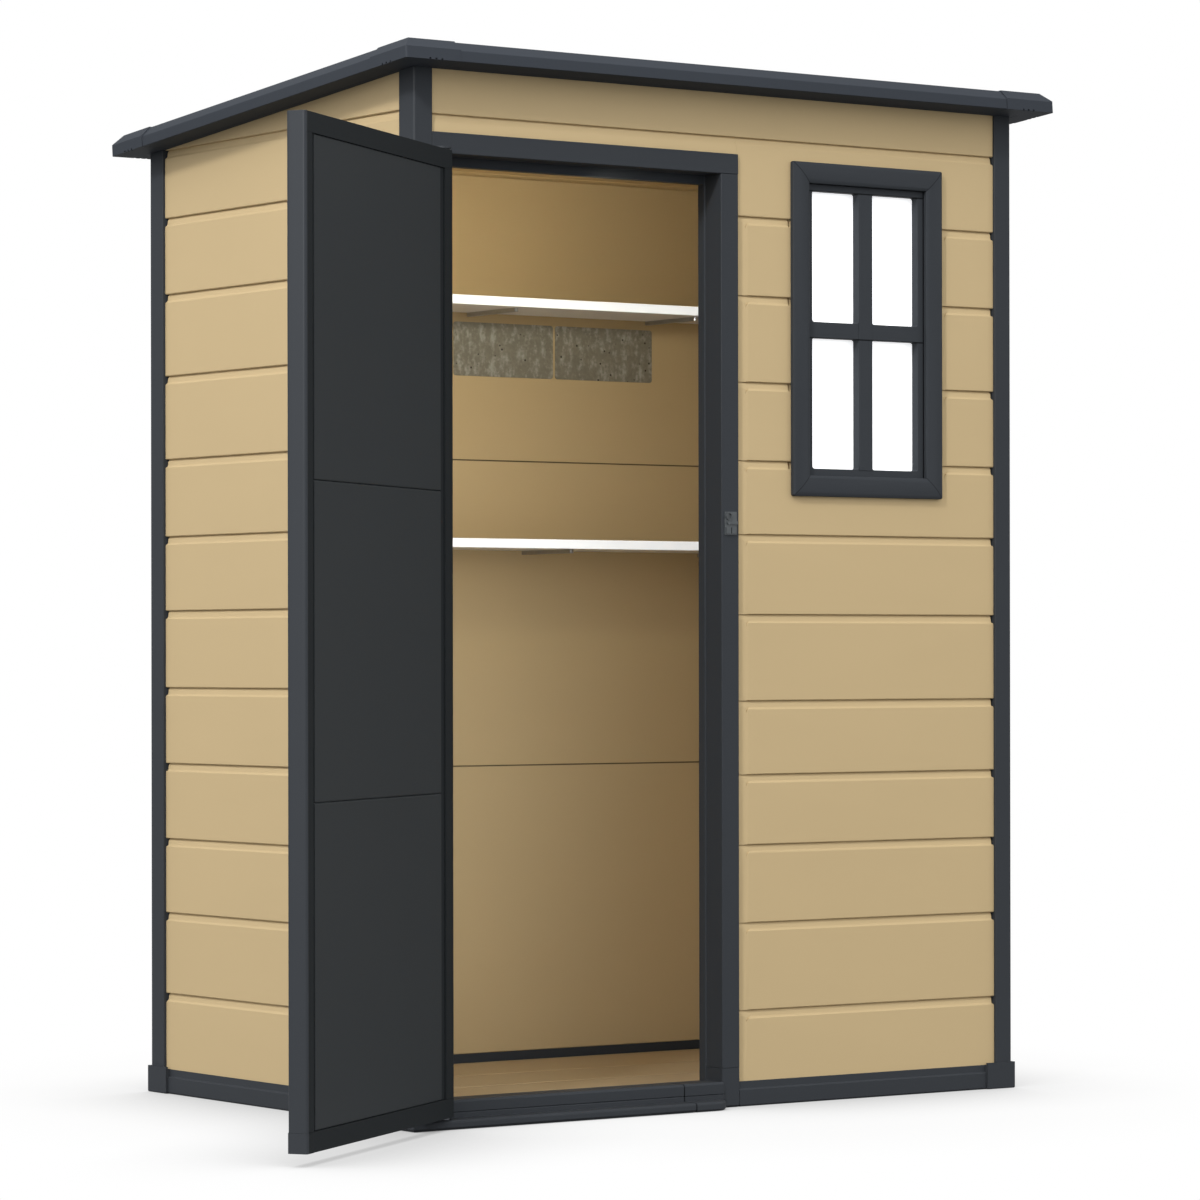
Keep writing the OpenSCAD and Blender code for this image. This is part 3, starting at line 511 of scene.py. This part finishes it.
def set_in_place(piece, place, turn, edge, body, slot):
    """Turns a shaped piece, moves its mesh to its place, softens it and gives it its finish."""
    piece.location = place
    piece.rotation_euler = turn
    bpy.ops.object.transform_apply(location=True, rotation=True, scale=True)
    soften(piece, edge)
    give_finish(piece, slot)
    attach(piece, body)


hinge = frame["record"]["behaviour"]["joints"][0]
HINGE_PLACE = Vector((hinge["pos_m"][0], hinge["pos_m"][1], 0))
LEAF_TURN = math.radians(-hinge["range_deg"][1])
ALONG = Vector((math.cos(LEAF_TURN), math.sin(LEAF_TURN), 0))
ACROSS = Vector((-math.sin(LEAF_TURN), math.cos(LEAF_TURN), 0))
LEAF_ROUNDING = 5 * MM
LEAF_ROUNDING_STEPS = 8
STRIP_LAP = 7 * MM
STRIP_PROUD = 0.3 * MM
STRIP_EDGE = 0.3 * MM
FOOT_PROUD = 0.05 * MM
STRIP_RISE = 0.2 * MM


def leaf_reach(node):
    """How far a door node runs from the pivot along the leaf, and how far to either side of it."""
    spots = [vertex.co - HINGE_PLACE for vertex in frame["nodes"][node].data.vertices]
    return max(spot.dot(ALONG) for spot in spots), max(abs(spot.dot(ACROSS)) for spot in spots)


def edge_strip(name, node, bottom, top, proud):
    """A strip of the plain anthracite wrapped round the door's free edge, shaped in the leaf's own frame
    and turned with it, so that the lit end face keeps the lighter tone while the rest of the door frame
    carries a darker painted-shade copy.
    """
    end, side = [reach + proud for reach in leaf_reach(node)]
    middle = (end - STRIP_LAP / 2, 0, (top + bottom) / 2)
    strip = block(name, (STRIP_LAP, 2 * side, top - bottom), middle)
    corners = strip.data.vertices
    for edge in strip.data.edges:
        first, second = [corners[index].co for index in edge.vertices]
        edge.select = min(first.x, second.x) > middle[0] and abs(first.z - second.z) > STRIP_LAP
    bpy.ops.object.mode_set(mode="EDIT")
    bpy.ops.mesh.select_mode(type="EDGE")
    bpy.ops.mesh.bevel(offset=LEAF_ROUNDING + proud, segments=LEAF_ROUNDING_STEPS, affect="EDGES")
    bpy.ops.object.mode_set(mode="OBJECT")
    set_in_place(strip, HINGE_PLACE, (0, 0, LEAF_TURN), STRIP_EDGE, hinge["child"], "frame_resin")


foot_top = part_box("door_stiles")[0].z
rails_low, rails_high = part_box("door_rails")
# The strips give the door's lit end face the plain anthracite, against the frame's painted shade
edge_strip("door_edge_strip", "door_stiles", foot_top, rails_high.z + STRIP_RISE, STRIP_PROUD)
edge_strip("door_edge_foot", "door_rails", rails_low.z + STRIP_RISE, foot_top, FOOT_PROUD)

LINING_THICK = 4 * MM
LINING_RIM = 30 * MM
LINING_SUNK = 2 * MM
LINING_BELOW_ROOF = 0.9 * MM
LINING_EDGE = 0.6 * MM
LINING_GAP = 4 * MM
LINING_BACK_GAP = 3 * MM


def roof_underside():
    """The pitch of the roof's underside, and its height over the middle of the shed."""
    downward = [face for face in frame["nodes"]["roof_panels"].data.polygons if face.normal.z < -0.9]
    face = max(downward, key=lambda face: face.area)
    fall = face.normal.y / face.normal.z
    return math.atan(fall), face.center.z + fall * face.center.y


def roof_lining(name, left, right, front, back):
    """The sand-coloured inner skin under the roof, with a rim round a field sunk into it."""
    pitch, height = roof_underside()
    size = (right - left, (back - front) / math.cos(pitch), LINING_THICK)
    lining = block(name, size, (0, 0, -LINING_THICK / 2))
    for face in lining.data.polygons:
        face.select = face.normal.z < -0.5
    bpy.ops.object.mode_set(mode="EDIT")
    bpy.ops.mesh.select_mode(type="FACE")
    bpy.ops.mesh.inset(thickness=LINING_RIM, depth=0)
    bpy.ops.mesh.inset(thickness=LINING_SUNK, depth=-LINING_SUNK)
    bpy.ops.object.mode_set(mode="OBJECT")
    middle = (front + back) / 2
    place = ((left + right) / 2, middle, height - middle * math.tan(pitch) - LINING_BELOW_ROOF)
    set_in_place(lining, place, (-pitch, 0, 0), LINING_EDGE, "shed", "wall_resin")


roof_lining("roof_lining",
            left=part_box("left_panel_upper")[1].x + LINING_GAP,
            right=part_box("right_panel_upper")[0].x - LINING_GAP,
            front=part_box("lintel")[1].y + LINING_GAP,
            back=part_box("back_panel_upper")[0].y - LINING_BACK_GAP)


# ---- lamps ----

SHED_MIDDLE = (0, 0, 1.0)
INNER_X, INNER_Y, BACK_Y = -0.36, -0.43, 0.52


def lamp(name, place, aim, size, power, spread=180.0, colour=(1.0, 1.0, 1.0)):
    """A soft box at a place, aimed at a point, which lights but doesn't show."""
    data = bpy.data.lights.new(name, "AREA")
    data.shape = "RECTANGLE"
    data.size, data.size_y = size
    data.energy = power
    data.spread = math.radians(spread)
    data.color = colour
    box = bpy.data.objects.new(name, data)
    box.location = place
    box.rotation_euler = (Vector(aim) - Vector(place)).to_track_quat("-Z", "Y").to_euler()
    box.visible_camera = False
    box.visible_glossy = False
    bpy.context.collection.objects.link(box)
    return box


def inner_lamp(name, height, aim_x, aim_z, size, power, spread, colour):
    """A small lamp just inside the doorway, behind the closed leaf, for a part of the back wall."""
    lamp(name, (INNER_X, INNER_Y, height), (aim_x, BACK_Y, aim_z), size, power, spread, colour)


def shelf_lamp():
    """A lamp for the white shelves alone."""
    light = lamp("shelf_box", (0.2, -2.0, 1.7), (0.2, 0.2, 1.4), size=(0.5, 0.1), power=36,
                 colour=(0.9, 0.95, 1.0))
    light.light_linking.receiver_collection = bpy.data.collections.new("white_shelves")
    light.light_linking.blocker_collection = bpy.data.collections.new("shelf_shading")
    for shelf in pieces_by_slot["shelf_white"]:
        light.light_linking.receiver_collection.objects.link(shelf)
        light.light_linking.blocker_collection.objects.link(shelf)


def edge_lamp():
    """A tall strip that only shines in rounded edges."""
    light = lamp("edge_strip", (-4.6, -3.2, 3.1), SHED_MIDDLE, size=(0.5, 3.0), power=1500)
    light.visible_glossy = True
    light.visible_diffuse = False


lamp("sun_box", (-4.62, -3.01, 5.31), SHED_MIDDLE, size=(0.7, 0.7), power=203)
inner_lamp("lower_inner_box", 0.62, 0.05, 0.5, size=(0.2, 0.8), power=1.4, spread=100,
           colour=(0.94, 0.98, 1.0))
inner_lamp("middle_inner_box", 1.2, -0.05, 1.25, size=(0.2, 0.2), power=0.27, spread=80,
           colour=(1.0, 0.95, 0.85))
inner_lamp("upper_inner_box", 1.66, 0.1, 1.75, size=(0.2, 0.1), power=1.65, spread=110,
           colour=(1.0, 0.94, 0.76))
shelf_lamp()
edge_lamp()


# ---- sky and ground ----

DOME = 1.48
GROUND_SIZE = 60.0
GROUND_LIT = grey(0.12)
GROUND_SEEN = grey(0.56)
SHADOW = grey(0.1)
SHADOW_REACH = 0.42
SHADOW_POWER = 1.4
FADE_START, FADE_END = 0.9, 1.5
GLOW_NEAR, GLOW_FAR = 0.9, 1.0


def studio_sky():
    """An even dome, which lights the shed more strongly than it shows."""
    world = bpy.data.worlds.new("studio")
    world.use_nodes = True
    bpy.context.scene.world = world
    sky = Tree(world.node_tree)
    background = sky.tree.nodes["Background"]
    background.inputs["Color"].default_value = WHITE
    strength = DOME + sky.seen_directly() * (1 - DOME)
    sky.tree.links.new(strength.socket, background.inputs["Strength"])


def ground_finish():
    """Pale ground that glows white to the eye, but for soft shadows close to the shed."""
    paving = Finish("pale_ground", Roughness=0.9, Specular_IOR_Level=0.1)
    eye = paving.seen_directly()
    paving.feed("Base Color", paving.blend(eye, GROUND_LIT, GROUND_SEEN))
    open_sky = paving.node("ShaderNodeAmbientOcclusion", {"samples": 16}, {"Distance": SHADOW_REACH}, "AO")
    shaded = paving.blend((1 - open_sky) ** SHADOW_POWER, WHITE, SHADOW)
    glow = paving.node("ShaderNodeEmission", {}, {"Color": shaded, "Strength": 1.0}, "Emission")
    apart = paving.node("ShaderNodeVectorMath", {"operation": "LENGTH"}, {0: paving.place()}, "Value")
    share = paving.step(apart, FADE_START, FADE_END, GLOW_NEAR, GLOW_FAR) * eye
    matt = Reading(paving, paving.shader.outputs["BSDF"])
    surface = paving.node("ShaderNodeMixShader", {}, {0: share, 1: matt, 2: glow}, "Shader")
    paving.tree.links.new(surface.socket, paving.tree.nodes["Material Output"].inputs["Surface"])
    return paving.material


studio_sky()
bpy.ops.object.select_all(action="DESELECT")
bpy.ops.mesh.primitive_plane_add(size=GROUND_SIZE, location=(0, 0, 0))
ground = bpy.context.object
ground.name = "ground"
ground.data.materials.append(ground_finish())

bpy.context.scene.view_settings.view_transform = "Standard"
